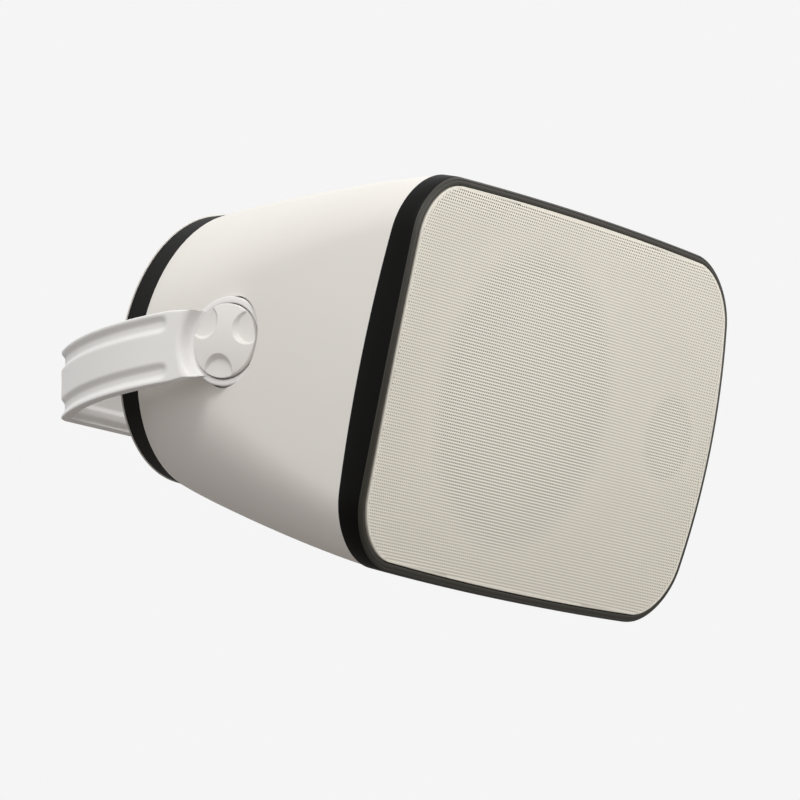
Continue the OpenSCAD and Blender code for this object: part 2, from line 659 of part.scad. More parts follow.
// Stations along one arm: [distance from the middle, distance from the pivot, turn]
function on_bow(v) = let (a = asin((v - bow_from) / arm_bow_r)) [arm_half - arm_bow_r * (1 - cos(a)), v, a];
function on_bend(a) = [bend_x + bend_r * cos(a), reach - bend_r + bend_r * sin(a), a];
bow_stops = concat([neck_at, 20, 27, groove_from, groove_from + 0.5 * groove_run, groove_from + groove_run],
                   [for (k = [1 : 7]) groove_from + groove_run
                       + (reach - bend_r - 10 - groove_from - groove_run) * k / 7]);
bend_stops = [for (k = [0 : 7]) bow_end + (90 - bow_end) * k / 7];
centre_groove_end = wall_hole_gap / 2 + 9;
wall_stops = [bend_x - 4, centre_groove_end + 4, centre_groove_end];
function smooth(t) = let (c = min(1, max(0, t))) c * c * (3 - 2 * c);
function side_groove(s) = groove_d * smooth((s[1] - groove_from) / groove_run);
function centre_groove(s) = groove_d * min(smooth((s[2] - bow_end) / 25), smooth((s[0] - centre_groove_end) / 4));
function strap_half(s) = strap_w / 2 * (neck_share + (1 - neck_share) * smooth((s[1] - neck_at) / 20));
half_path = concat([for (v = bow_stops) on_bow(v)], [for (a = bend_stops) on_bend(a)],
                   [for (x = wall_stops) [x, reach, 90]]);
path = concat([for (s = half_path) [s, -1]], [for (i = [len(half_path) - 1 : -1 : 0]) [half_path[i], 1]]);

// Outer face of the strap from one edge to the other: [across, in from the face]
function face_line(half, g, c) = let (k = half * 2 / 35.4, one = [
        [half, 0.8], [half - 0.8, 0], [16.1 * k, 0], [13.1 * k, g], [10.1 * k, g], [6.9 * k, 0], [4.7 * k, 0], [1.2 * k, c]
    ]) concat(one, [for (i = [len(one) - 1 : -1 : 0]) [-one[i][0], one[i][1]]]);
function edge_share(i, n) = (i == 0 || i == n - 1) ? -2 : 0;
function strap_section(s, side) =
    let (front = face_line(strap_half(s), side_groove(s), centre_groove(s)), n = len(front),
         back = [for (i = [n - 1 : -1 : 0]) [front[i][0], front[i][1] + strap_t + edge_share(i, n) * front[i][1]]],
         line = side < 0 ? concat(front, back) : concat(front, back))
    [for (p = line)
        [side * (s[0] - p[1] * cos(s[2])), -reach + s[1] - p[1] * sin(s[2]), p[0]]];

module strap() {
    bar_sweep([for (p = path) strap_section(p[0], p[1])]);
}
// The ring at the end of the arm, and the block that ties it to the strap
function bow_x(v) = on_bow(v)[0];
tie_in = lip_out + 0.8;
module ring_end() translate([0, -reach, 0]) {
    rotate([0, -90, 0]) rotate_extrude() polygon([
        [0, ring_in], [ring_r - 1, ring_in], [ring_r, ring_in + 1], [ring_r, lip_out - 0.7],
        [ring_r - 0.7, lip_out], [0, lip_out]]);
    intersection() {
        translate([-arm_half + 0.6, 10, -neck_half + 0.3]) cube([arm_half - 0.6 - ring_in, 20, 2 * neck_half - 0.6]);
        rotate([0, -90, 0]) cylinder(r = pocket_r - 0.2, h = arm_half);
    }
    translate([0, 0, -neck_half + 0.3]) linear_extrude(2 * neck_half - 0.6) polygon([
        [-tie_in, 12], [-(arm_half - 0.8), 12], [-(bow_x(26) - 0.8), 26], [-(bow_x(31) - 1.4), 31],
        [-(bow_x(46) - 3.2), 46], [-(bow_x(46) - strap_t + 0.2), 46], [-tie_in, 28]]);
}
// The dish that lets the knob down into the ring
module knob_dish() translate([0, -reach, 0]) rotate([0, -90, 0]) rotate_extrude() polygon([
    [0, floor_out], [knob_r + 0.6, floor_out], [knob_r + 0.6, lip_out - 0.4], [knob_r + 1, lip_out],
    [knob_r + 2, lip_out + 0.2], [knob_r + 3, lip_out + 0.9], [knob_r + 4, lip_out + 2.2],
    [knob_r + 4.8, lip_out + 4], [knob_r + 5.3, lip_out + 6.6], [knob_r + 5.3, lip_out + 12], [0, lip_out + 12]]);

module bracket() color(strap_white) difference() {
    union() {
        strap();
        both_sides() ring_end();
    }
    both_sides() knob_dish();
    both_sides() translate([-ring_in + 1, -reach, 0]) rotate([0, -90, 0])
        cylinder(r = bush_r + run_clear, h = ring_floor + 2);
    for (x = [-1, 1] * wall_hole_gap / 2) translate([x, 1, 0]) rotate([90, 0, 0]) cylinder(r = wall_hole_r, h = strap_t + 2);
    translate([0, 1, 0]) rotate([90, 0, 0]) cylinder(r = mid_hole_r, h = strap_t + 2);
}

bracket();
cabinet_shell();
front_bezel();
grille();
baffle();
baffle_screws();
woofer_frame();
woofer_gasket();
woofer_surround();
woofer_cone();
woofer_dust_cap();
woofer_spider();
woofer_voice_coil();
woofer_top_plate();
woofer_magnet();
woofer_yoke();
woofer_screws();
tweeter_plate();
tweeter_dome();
tweeter_magnet();
tweeter_screws();
damping_pad();
rear_band();
rear_cover();
rear_cover_screws();
crossover_board();
crossover_inductor();
crossover_capacitors();
line_transformer();
terminal_block();
cable_gland();
gland_seal();
gland_cap();
gland_nut();
bush_left();
bush_right();
friction_washer_left();
friction_washer_right();
stud_left();
stud_right();
knob_left();
knob_right();
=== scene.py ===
import math

import bmesh
import bpy
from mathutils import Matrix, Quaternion, Vector


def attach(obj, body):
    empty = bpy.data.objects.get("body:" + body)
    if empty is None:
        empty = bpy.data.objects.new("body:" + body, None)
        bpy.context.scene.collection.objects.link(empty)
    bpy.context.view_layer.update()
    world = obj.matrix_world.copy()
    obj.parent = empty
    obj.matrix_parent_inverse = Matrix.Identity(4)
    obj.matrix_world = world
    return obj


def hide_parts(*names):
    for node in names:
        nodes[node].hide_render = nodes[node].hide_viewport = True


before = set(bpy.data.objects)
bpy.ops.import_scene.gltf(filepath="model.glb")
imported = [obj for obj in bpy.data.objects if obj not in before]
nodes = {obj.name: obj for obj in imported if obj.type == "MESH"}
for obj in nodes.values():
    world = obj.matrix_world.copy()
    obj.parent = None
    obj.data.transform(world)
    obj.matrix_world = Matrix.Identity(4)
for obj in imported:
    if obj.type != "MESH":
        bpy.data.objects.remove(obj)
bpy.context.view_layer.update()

# Surface of mouldings and castings. The real shell, bezel and strap have a fine matt skin
# with a slight orange peel. One group gives every material its grain, slow tone and specks.

GRAIN = bpy.data.node_groups.new("surface_grain", "ShaderNodeTree")
for name, default in (("Grain size", 900.0), ("Tone size", 14.0), ("Tone", 0.04)):
    GRAIN.interface.new_socket(name, in_out="INPUT", socket_type="NodeSocketFloat").default_value = default
for name in ("Height", "Shade", "Speck"):
    GRAIN.interface.new_socket(name, in_out="OUTPUT", socket_type="NodeSocketFloat")


def add(tree, kind, inputs=None, **settings):
    """A new node with its settings and the values of its inputs."""
    node = tree.nodes.new(kind)
    for key, value in settings.items():
        setattr(node, key, value)
    for key, value in (inputs or {}).items():
        node.inputs[key].default_value = value
    return node


def link(tree, a, a_out, b, b_in):
    tree.links.new(a.outputs[a_out], b.inputs[b_in])


g_in = add(GRAIN, "NodeGroupInput")
g_out = add(GRAIN, "NodeGroupOutput")
g_coord = add(GRAIN, "ShaderNodeTexCoord")
g_fine = add(GRAIN, "ShaderNodeTexNoise", {"Detail": 3.0, "Roughness": 0.6})
g_slow = add(GRAIN, "ShaderNodeTexNoise", {"Detail": 2.0, "Roughness": 0.5})
g_cells = add(GRAIN, "ShaderNodeTexVoronoi")
g_range = add(GRAIN, "ShaderNodeMapRange", {"From Min": 0.3, "From Max": 0.7, "To Min": -1.0, "To Max": 1.0})
g_tone = add(GRAIN, "ShaderNodeMath", operation="MULTIPLY")
g_shade = add(GRAIN, "ShaderNodeMath", {1: 1.0}, operation="ADD")
for tex in (g_fine, g_slow, g_cells):
    link(GRAIN, g_coord, "Object", tex, "Vector")
for a, a_out, b, b_in in (
    (g_in, "Grain size", g_fine, "Scale"),
    (g_in, "Grain size", g_cells, "Scale"),
    (g_in, "Tone size", g_slow, "Scale"),
    (g_slow, "Fac", g_range, "Value"),
    (g_range, "Result", g_tone, 0),
    (g_in, "Tone", g_tone, 1),
    (g_tone, "Value", g_shade, 0),
    (g_fine, "Fac", g_out, "Height"),
    (g_shade, "Value", g_out, "Shade"),
    (g_cells, "Distance", g_out, "Speck"),
):
    link(GRAIN, a, a_out, b, b_in)


def blank_material(name):
    """A material with no nodes but its output."""
    mat = bpy.data.materials.new(name)
    mat.use_nodes = True
    mat.node_tree.nodes.clear()
    return mat, mat.node_tree, add(mat.node_tree, "ShaderNodeOutputMaterial")


def material(name, color, rough, metallic=0.0, grain=900.0, bump=0.08, tone=0.03, edge=0.0004, speck=0.0,
             sheen=0.0, specular=0.5, coat=0.0, depth=0.0002):
    """A surface with fine grain, slow tone and softened edges. Sizes are in metres."""
    mat, tree, out = blank_material(name)
    shader = add(tree, "ShaderNodeBsdfPrincipled", {
        "Metallic": metallic, "Specular IOR Level": specular, "Sheen Weight": sheen, "Coat Weight": coat})
    group = add(tree, "ShaderNodeGroup", node_tree=GRAIN)
    group.inputs["Grain size"].default_value = grain
    group.inputs["Tone"].default_value = tone
    tint = add(tree, "ShaderNodeVectorMath", {0: color}, operation="SCALE")
    link(tree, group, "Shade", tint, "Scale")
    dark = add(tree, "ShaderNodeMix", {"B": (*(c * 0.5 for c in color), 1.0)}, data_type="RGBA")
    speck_at = add(tree, "ShaderNodeMapRange", {"From Min": 0.25, "From Max": 0.05, "To Min": 0.0, "To Max": speck})
    link(tree, group, "Speck", speck_at, "Value")
    link(tree, speck_at, "Result", dark, "Factor")
    link(tree, tint, "Vector", dark, "A")
    link(tree, dark, "Result", shader, "Base Color")
    rough_map = add(tree, "ShaderNodeMapRange", {
        "From Min": 0.3, "From Max": 0.7, "To Min": rough - 0.04, "To Max": rough + 0.04})
    link(tree, group, "Height", rough_map, "Value")
    link(tree, rough_map, "Result", shader, "Roughness")
    soft = add(tree, "ShaderNodeBevel", {"Radius": edge}, samples=4)
    raised = add(tree, "ShaderNodeBump", {"Strength": bump, "Distance": depth})
    link(tree, soft, "Normal", raised, "Normal")
    link(tree, group, "Height", raised, "Height")
    link(tree, raised, "Normal", shader, "Normal")
    link(tree, shader, "BSDF", out, "Surface")
    return mat


# Shell of the cabinet. One plastic moulding that closes from the bowed rounded oblong of the
# front to a round back, with a round pocket each side that the bracket and knob are let
# into. It hangs on the two pivots and nods 14 degrees.

TILT = math.radians(14)
PIVOT_DEPTH = 124.6  # All depths are counted backwards from the middle of the grille
REACH = 137.0  # From the wall face of the bracket to the pivot line
FACE_W, FACE_H, SIDE_BOW, TOP_BOW, CORNER = 137.0, 92.0, 8.0, 3.0, 30.0
CORNER_STEPS, LONG_POINTS, SHORT_POINTS = 20, 30, 20
SHELL_FRONT, SHELL_LENGTH, REAR_R, WALL, SHELL_STEPS = 17.3, 187.6, 71.0, 3.2, 44
# How each measure closes from front to back, where 1 is a straight taper
W_CLOSE, H_CLOSE, CORNER_CLOSE, BOW_CLOSE = 1.04, 1.14, 1.18, 0.56
ARM_HALF, RING_R, KNOB_R, PIVOT_BORE = 114.4, 21.8, 18.1, 7.02
LIP_OUT = ARM_HALF - 6.6
RING_IN = LIP_OUT - 8
BOSS_OUT = RING_IN - 1.6
POCKET_R = RING_R + 0.7
CUP_WALL = 2.8
PAST_SHELL = 140  # Beyond the shell's side, for blocks that cut through it

shell_skin = material("shell_skin", (0.775, 0.752, 0.718), 0.52, grain=1400, bump=0.10, tone=0.012, edge=0.0007)


def cabinet(x, depth, z):
    """A point of the cabinet in millimetres, as a point of the shared frame in metres."""
    y = depth - PIVOT_DEPTH
    return Vector((x, y * math.cos(TILT) - z * math.sin(TILT) - REACH,
                   y * math.sin(TILT) + z * math.cos(TILT))) / 1000


def oblong(w, h, r):
    """Points round a straight rounded oblong, anticlockwise from the right."""
    corners = []
    for k, (cx, cz) in enumerate(((w - r, h - r), (r - w, h - r), (r - w, r - h), (w - r, r - h))):
        angles = [math.radians(90 * (k + i / CORNER_STEPS)) for i in range(CORNER_STEPS + 1)]
        corners.append([(cx + r * math.cos(a), cz + r * math.sin(a)) for a in angles])
    points = []
    for k, run in enumerate(corners):
        points += run
        (ax, az), (bx, bz) = run[-1], corners[(k + 1) % 4][0]
        n = LONG_POINTS if k % 2 == 0 else SHORT_POINTS
        points += [(ax + (bx - ax) * i / (n + 1), az + (bz - az) * i / (n + 1)) for i in range(1, n + 1)]
    return points


def bowed(points, w, h, share=1.0):
    """The oblong with its sides bowed out."""
    return [
        (x * (1 + share * SIDE_BOW / w * (1 - (z / h) ** 2)), z * (1 + share * TOP_BOW / h * (1 - (x / w) ** 2)))
        for x, z in points
    ]


def front_outline(ix, iz=None, r=None):
    """Outline of the front, lying inside its edge by ix and iz."""
    iz = ix if iz is None else iz
    w, h = FACE_W - ix, FACE_H - iz
    return bowed(oblong(w, h, CORNER - min(ix, iz) if r is None else r), w, h)


def shell_outline(s, inset):
    """Section of the shell at s, from 0 at the bezel to 1 at the round end."""
    w = FACE_W + (REAR_R - FACE_W) * s ** W_CLOSE - inset
    h = FACE_H + (REAR_R - FACE_H) * s ** H_CLOSE - inset
    r = min(CORNER + (REAR_R - CORNER) * s ** CORNER_CLOSE - inset, 0.997 * min(w, h))
    return bowed(oblong(w, h, r), w, h, (1 - s) ** BOW_CLOSE)


def finish_mesh(obj, mat, smooth=32.0):
    """Outward normals, smooth shading up to an angle, and one material."""
    bm = bmesh.new()
    bm.from_mesh(obj.data)
    bmesh.ops.recalc_face_normals(bm, faces=bm.faces)
    bm.to_mesh(obj.data)
    bm.free()
    for poly in obj.data.polygons:
        poly.use_smooth = True
    obj.data.set_sharp_from_angle(angle=math.radians(smooth))
    obj.data.materials.clear()
    if mat:
        obj.data.materials.append(mat)


def mesh_object(name, verts, faces, mat=None, smooth=32.0, body=None):
    """A mesh. A body makes it a piece that rides there, and without one it is a block to cut with."""
    mesh = bpy.data.meshes.new(name)
    mesh.from_pydata([tuple(v) for v in verts], [], faces)
    mesh.update()
    obj = bpy.data.objects.new(name, mesh)
    bpy.context.scene.collection.objects.link(obj)
    finish_mesh(obj, mat, smooth)
    if body:
        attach(obj, body)
    return obj


def tube_faces(rings, n, closed=True):
    """Quads between rows of n points, where the last row also meets the first when closed."""
    faces = []
    for j in range(rings if closed else rings - 1):
        a, b = j * n, ((j + 1) % rings) * n
        for i in range(n):
            k = (i + 1) % n
            faces.append((a + i, a + k, b + k, b + i))
    return faces


def capped_faces(rings, n):
    """Quads between rows of n points, with both ends filled."""
    return tube_faces(rings, n, False) + [tuple(range(n))[::-1], tuple(range((rings - 1) * n, rings * n))]


def shell_block(name, inset, overrun):
    """The shell's outside or inside as one closed block."""
    stops = [i / SHELL_STEPS for i in range(SHELL_STEPS + 1)]
    rows = [(SHELL_FRONT + SHELL_LENGTH * s, shell_outline(s, inset)) for s in stops]
    if overrun:
        rows = [(rows[0][0] - overrun, rows[0][1])] + rows + [(rows[-1][0] + overrun, rows[-1][1])]
    verts = [cabinet(x, depth, z) for depth, ring in rows for x, z in ring]
    return mesh_object(name, verts, capped_faces(len(rows), len(rows[0][1])))


def lathe(name, profile, place, steps=128):
    """A turned closed block. The profile is [(radius, along)], and place turns (a, b, along) into a point."""
    verts, faces = [], []
    n = len(profile)
    for i in range(steps):
        a = 2 * math.pi * i / steps
        verts += [place(r * math.cos(a), r * math.sin(a), u) for r, u in profile]
    for i in range(steps):
        j = (i + 1) % steps
        faces += [(i * n + k, j * n + k, j * n + (k + 1) % n, i * n + (k + 1) % n) for k in range(n)]
    obj = mesh_object(name, verts, faces)
    bm = bmesh.new()
    bm.from_mesh(obj.data)
    bmesh.ops.remove_doubles(bm, verts=bm.verts, dist=1e-7)
    bmesh.ops.dissolve_degenerate(bm, edges=bm.edges, dist=1e-7)
    bmesh.ops.recalc_face_normals(bm, faces=bm.faces)
    bm.to_mesh(obj.data)
    bm.free()
    return obj


def disc(name, r, start, end, place, steps=128):
    """A plain round block."""
    return lathe(name, [(0, start), (r, start), (r, end), (0, end)], place, steps)


def cut(obj, other, how="DIFFERENCE"):
    """One boolean, applied to obj. The other block goes away."""
    mod = obj.modifiers.new("cut", "BOOLEAN")
    mod.object, mod.operation, mod.solver = other, how, "EXACT"
    graph = bpy.context.evaluated_depsgraph_get()
    mesh = bpy.data.meshes.new_from_object(obj.evaluated_get(graph))
    obj.modifiers.clear()
    obj.data = mesh
    bpy.data.objects.remove(other)


def beside(side, up=0.0, back=0.0):
    """Place of a turned block on or near the pivot line, where along is the distance from the middle."""
    return lambda a, b, u: cabinet(side * u, PIVOT_DEPTH + back + b, up + a)


shell = shell_block("shell_skin", 0, 0)
hollow = shell_block("shell_hollow", WALL, 1.0)
for side in (-1, 1):
    cut(hollow, disc("cup", POCKET_R + CUP_WALL, BOSS_OUT - WALL, PAST_SHELL, beside(side), 96))
cut(shell, hollow)
for side in (-1, 1):
    cut(shell, disc("pocket", POCKET_R, BOSS_OUT, PAST_SHELL, beside(side), 160))
    cut(shell, disc("bore", PIVOT_BORE, 60, PAST_SHELL, beside(side), 48))
finish_mesh(shell, shell_skin, 28)
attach(shell, "cabinet")
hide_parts("cabinet_shell")

# Bezel. A black plastic frame pressed into the front of the shell: a wide band that stands a
# little proud, a rounded front edge with a fine groove, and a thin lip round the grille.

CROWN_V, CROWN_H = 5.6, 0.8
PROUD, SPIGOT, BEZEL_IN, LIP_BACK = 0.6, 24.0, 9.6, 5.2
# Rows of the rounded front edge and lip, which carry the painted highlight
PAINTED_HIGHLIGHT_ROWS = range(4, 15)

# One black plastic in two copies: the band's own black, and a lighter copy on the rounded front edge and lip that is
# a painted highlight where they face the lamps
bezel_skin = material("bezel_skin", (0.0040, 0.0038, 0.0036), 0.50, grain=1500, bump=0.12, tone=0.06, edge=0.0006,
                      specular=0.08)
rim_painted_highlight = material("rim_painted_highlight", (0.034, 0.032, 0.026), 0.42, grain=1500, bump=0.10, tone=0.05, edge=0.0004,
                    specular=0.3)


def crown(x, z):
    """How far the front has fallen back at a place."""
    return CROWN_V * (z / 95) ** 2 + CROWN_H * (x / 145) ** 2


def front_ring(outline, depth, share=1.0):
    """An outline laid on the crowned front, or on a flat plane where the share is 0."""
    return [cabinet(x, depth + share * crown(x, z), z) for x, z in outline]


def ring_object(name, rows, mat, smooth):
    """A closed ring through rows of equal length."""
    return mesh_object(name, [v for row in rows for v in row], tube_faces(len(rows), len(rows[0])), mat, smooth,
                       "cabinet")


# Section of the frame: distance inside the front's edge, depth and share of the crown
bezel_rows = [front_ring(front_outline(3.6), SHELL_FRONT, 0),
              front_ring(front_outline(6.0, 4.2, CORNER - 2), SPIGOT, 0)]
bezel_rows += [front_ring(front_outline(inset), depth, share) for inset, depth, share in (
    (BEZEL_IN, SPIGOT, 0), (BEZEL_IN, LIP_BACK, 1), (3.45, LIP_BACK, 1),
    (3.25, 1.2, 1), (3.05, 0.95, 1), (2.75, 0.82, 1), (1.35, 0.8, 1), (1.15, 0.88, 1),
    (0.95, 1.12, 1), (0.75, 1.12, 1), (0.55, 0.94, 1), (0.25, 1.12, 1), (-0.05, 1.45, 1),
    (-0.32, 2.0, 1), (-0.5, 2.8, 1), (-PROUD, 3.9, 1), (-PROUD, 8.0, 0.6), (-PROUD, 16.7, 0),
    (-0.45, 17.1, 0), (-0.2, SHELL_FRONT, 0))]
bezel = ring_object("bezel_frame", bezel_rows, bezel_skin, 40)
# Second slot: the lighter copy, a painted highlight on the front edge and lip
bezel.data.materials.append(rim_painted_highlight)
for poly in bezel.data.polygons:
    if poly.index // len(bezel_rows[0]) in PAINTED_HIGHLIGHT_ROWS:
        poly.material_index = 1
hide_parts("front_bezel")

# Grille. A domed steel sheet with a fine staggered pattern of holes up to a narrow border,
# and an edge that is turned back into the bezel. Powder coated in the shell's colour.

GRILLE_IN, PITCH, HOLE_R, BORDER, SHEET_T = 3.6, 1.66, 0.47, 0.3, 0.8
ROW_STEP = PITCH * math.sqrt(3) / 2

grille_skin = material("grille_skin", (0.80, 0.77, 0.695), 0.55, grain=1500, bump=0.05, tone=0.01, edge=0.0001)
# The border and turned edge take a darker copy of the same coat, painted shade where the sheet turns down into the
# bezel
grille_edge_painted_shade = material("grille_edge_painted_shade", (0.66, 0.635, 0.57), 0.6, grain=1500, bump=0.05, tone=0.01,
                            edge=0.0001)


def inside_by(x, z, inset):
    """Whether a place lies within the front's outline by more than inset."""
    w, h = FACE_W - inset, FACE_H - inset
    r = max(CORNER - inset, 4)
    px = abs(x) / (1 + SIDE_BOW / w * (1 - min(1, (z / (h + TOP_BOW)) ** 2)))
    pz = abs(z) / (1 + TOP_BOW / h * (1 - min(1, (x / (w + SIDE_BOW)) ** 2)))
    if px > w or pz > h:
        return False
    dx, dz = px - (w - r), pz - (h - r)
    return dx <= 0 or dz <= 0 or dx * dx + dz * dz <= r * r


verts, faces, cells = [], [], {}
rows, columns = int(100 / ROW_STEP), int(150 / PITCH)
for row in range(-rows, rows + 1):
    for col in range(-columns, columns + 1):
        x = (col + (0.5 if row % 2 else 0.0)) * PITCH
        z = row * ROW_STEP
        if inside_by(x, z, GRILLE_IN + BORDER):
            cells[(row, col)] = len(verts)
            for k in range(6):
                a = math.radians(60 * k + 30)
                vx, vz = x + HOLE_R * math.cos(a), z + HOLE_R * math.sin(a)
                verts.append(cabinet(vx, crown(vx, vz), vz))


def neighbour(row, col, k):
    """The hole next to one, k sixths of a turn from the right."""
    shift = 1 if row % 2 else 0
    return ((row, col + 1), (row + 1, col + shift), (row + 1, col + shift - 1), (row, col - 1),
            (row - 1, col + shift - 1), (row - 1, col + shift))[k]


# Corners of a hole stand at 30, 90, 150, 210, 270 and 330 degrees, so the side that faces
# neighbour k runs from corner k - 1 to corner k.
for (row, col), a in cells.items():
    for k in range(3):
        other = cells.get(neighbour(row, col, k))
        if other is not None:
            faces.append((a + (k - 1) % 6, other + (k + 3) % 6, other + (k + 2) % 6, a + k))
    for k in range(2):
        b, c = cells.get(neighbour(row, col, k)), cells.get(neighbour(row, col, k + 1))
        if b is not None and c is not None:
            faces.append((a + k, b + (k + 2) % 6, c + (k + 4) % 6))

# Border from the outermost holes to the turned edge: distance inside GRILLE_IN, and depth
border_rows = [front_ring(front_outline(GRILLE_IN + inset), depth) for inset, depth in (
    (BORDER + 0.9, 0.05), (0.25, 0.05), (0.08, 0.1), (0, 0.25), (0, 0.9), (0, 5.0),
    (SHEET_T, 5.0), (SHEET_T, 1.2), (BORDER + 0.9, 0.9))]
grille = mesh_object("grille_sheet", verts, faces, grille_skin, 60, "cabinet")
# The border and turned edge carry the painted shade
border = ring_object("grille_border", border_rows, grille_edge_painted_shade, 50)
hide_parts("grille")

# Cloth behind the grille. Thin dark acoustic cloth is laid against the sheet, and shows a
# shade lighter over the pale baffle than over the dark cone and dome.

CLOTH_DEPTH, CLOTH_ROWS = 1.3, 16
CLOTH_PALE, CLOTH_DARK = (0.36, 0.34, 0.28, 1.0), (0.03, 0.029, 0.027, 1.0)

cloth, tree, c_out = blank_material("cloth_skin")
c_shader = add(tree, "ShaderNodeBsdfPrincipled", {"Roughness": 0.9, "Specular IOR Level": 0.1, "Sheen Weight": 0.1})
c_coord = add(tree, "ShaderNodeTexCoord")
c_weave = add(tree, "ShaderNodeTexWave", {"Scale": 900.0}, wave_type="BANDS")
c_bump = add(tree, "ShaderNodeBump", {"Strength": 0.3, "Distance": 0.0002})
link(tree, c_coord, "Object", c_weave, "Vector")
link(tree, c_weave, "Fac", c_bump, "Height")
link(tree, c_bump, "Normal", c_shader, "Normal")
c_rounds = []
# Woofer and tweeter: place across the front, reach in metres and how dark
for x, reach, power in ((-28, 0.080, 1.0), (103, 0.024, 0.8)):
    c_from = add(tree, "ShaderNodeVectorMath", {1: cabinet(x, 3, 0)}, operation="DISTANCE")
    c_ramp = add(tree, "ShaderNodeMapRange", {
        "From Min": reach * 0.78, "From Max": reach, "To Min": power, "To Max": 0.0}, interpolation_type="SMOOTHSTEP")
    link(tree, c_coord, "Object", c_from, 0)
    link(tree, c_from, "Value", c_ramp, "Value")
    c_rounds.append(c_ramp)
c_both = add(tree, "ShaderNodeMath", operation="MAXIMUM")
for k in range(2):
    link(tree, c_rounds[k], "Result", c_both, k)
c_tint = add(tree, "ShaderNodeMix", {"A": CLOTH_PALE, "B": CLOTH_DARK}, data_type="RGBA")
link(tree, c_both, "Value", c_tint, "Factor")
link(tree, c_tint, "Result", c_shader, "Base Color")
link(tree, c_shader, "BSDF", c_out, "Surface")
edge_line = front_outline(GRILLE_IN + 1.2)
n = len(edge_line)
cloth_rows = [[(x * k / CLOTH_ROWS, z * k / CLOTH_ROWS) for x, z in edge_line] for k in range(1, CLOTH_ROWS + 1)]
verts = [v for row in cloth_rows for v in front_ring(row, CLOTH_DEPTH)] + [cabinet(0, CLOTH_DEPTH, 0)]
faces = tube_faces(CLOTH_ROWS, n, False) + [(CLOTH_ROWS * n, i, (i + 1) % n) for i in range(n)]
cloth_sheet = mesh_object("grille_cloth", verts, faces, cloth, 60, "cabinet")

# Bracket. One steel strap pressed with two long grooves, bent round the back of the cabinet
# and ended each side in a dished ring that the knob sits in. Powder coated in off-white.

BOW_R, BOW_FROM, BEND_R, STRAP_T, STRAP_W = 180.0, 8.0, 9.0, 4.0, 35.4
NECK_AT, NECK_SHARE, BOW_POINTS, BEND_POINTS, BACK_POINTS, ACROSS = 13.0, 0.915, 90, 16, 24, 56
GROOVE_D, GROOVE_FROM, GROOVE_Z, GROOVE_HALF, CENTRE_END = 1.8, 31.0, 11.6, 4.7, 39.0
EDGE_ROUND, EDGE_FOLD, STUD_HOLE = 1.1, 1.008, 7.05
WALL_HOLES = ((-30, 3.3), (0, 4.2), (30, 3.3))
BEND_X = ARM_HALF - BOW_R + math.sqrt((BOW_R - BEND_R) ** 2 - (REACH - BEND_R - BOW_FROM) ** 2)
BOW_END = math.degrees(math.asin((REACH - BEND_R - BOW_FROM) / (BOW_R - BEND_R)))
NECK = STRAP_W / 2 * NECK_SHARE - 0.3
TIE_IN = LIP_OUT + 0.8

strap_skin = material("strap_skin", (0.845, 0.84, 0.835), 0.46, grain=1100, bump=0.08, tone=0.012, edge=0.0009)


def on_bow(v):
    """Place and heading of the bowed arm at a distance behind the pivots."""
    a = math.asin((v - BOW_FROM) / BOW_R)
    return ARM_HALF - BOW_R * (1 - math.cos(a)), v, math.degrees(a)


def on_bend(a):
    """Place and heading of the bend between arm and crossbar."""
    return BEND_X + BEND_R * math.cos(math.radians(a)), REACH - BEND_R + BEND_R * math.sin(math.radians(a)), a


def ease(t):
    t = min(1.0, max(0.0, t))
    return t * t * (3 - 2 * t)


def groove(z, at, flat):
    """Depth from 0 to 1 of a pressed groove across the strap."""
    return 1 - ease((abs(abs(z) - at) - flat) / (GROOVE_HALF - flat))


def strap_ring(stop, side):
    """Section of the strap at one place of its path."""
    x, v, a = stop
    half = STRAP_W / 2 * (NECK_SHARE + (1 - NECK_SHARE) * ease((v - NECK_AT) / 20))
    scale = half * 2 / STRAP_W
    middle = min(ease((a - BOW_END) / 25), ease((x - CENTRE_END) / 5))
    front, back = [], []
    for i in range(ACROSS + 1):
        z = half * (1 - 2 * i / ACROSS)
        # The far end of a groove is rounded
        from_mid = abs(abs(z) / scale - GROOVE_Z) / 4.6
        begun = ease((v - GROOVE_FROM - 2.2 * from_mid ** 2) / 5) if v < GROOVE_FROM + 5 else 1.0
        g = GROOVE_D * begun * groove(z / scale, GROOVE_Z, 1.2) + GROOVE_D * middle * groove(z / scale, 0, 0.6)
        gap = half - abs(z)
        fall = EDGE_ROUND - math.sqrt(max(0.0, EDGE_ROUND ** 2 - (EDGE_ROUND - min(gap, EDGE_ROUND)) ** 2))
        front.append((z, g + fall))
        back.append((z, g * min(1.0, gap / 2) + STRAP_T + 1.0 - EDGE_FOLD * ease((gap - 0.8) / 1.6) - fall))
    ca, sa = math.cos(math.radians(a)), math.sin(math.radians(a))
    return [Vector((side * (x - p * ca), -REACH + v - p * sa, z)) / 1000 for z, p in front + back[::-1]]


def on_pivot(side):
    """Place of a turned block of the bracket, where along is the distance from the middle."""
    return lambda a, b, u: Vector((side * u, b - REACH, a)) / 1000


def slab(name, side, polygon):
    """A plate as high as the neck, with a polygon of (from the middle, behind the pivot)."""
    verts = [Vector((side * u, v - REACH, z)) / 1000 for z in (-NECK, NECK) for u, v in polygon]
    return mesh_object(name, verts, capped_faces(2, len(polygon)))


bow_last = BOW_FROM + BOW_R * math.sin(math.radians(BOW_END))
half_path = [on_bow(NECK_AT + (bow_last - 0.5 - NECK_AT) * i / BOW_POINTS) for i in range(BOW_POINTS + 1)]
half_path += [on_bend(BOW_END + (90 - BOW_END) * i / BEND_POINTS) for i in range(BEND_POINTS + 1)]
half_path += [(BEND_X - BEND_X * i / BACK_POINTS, REACH, 90.0) for i in range(1, BACK_POINTS + 1)]
strap_rows = [strap_ring(stop, -1) for stop in half_path] + [strap_ring(stop, 1) for stop in half_path[-2::-1]]
bracket = mesh_object("bracket_strap", [v for row in strap_rows for v in row],
                      capped_faces(len(strap_rows), len(strap_rows[0])))
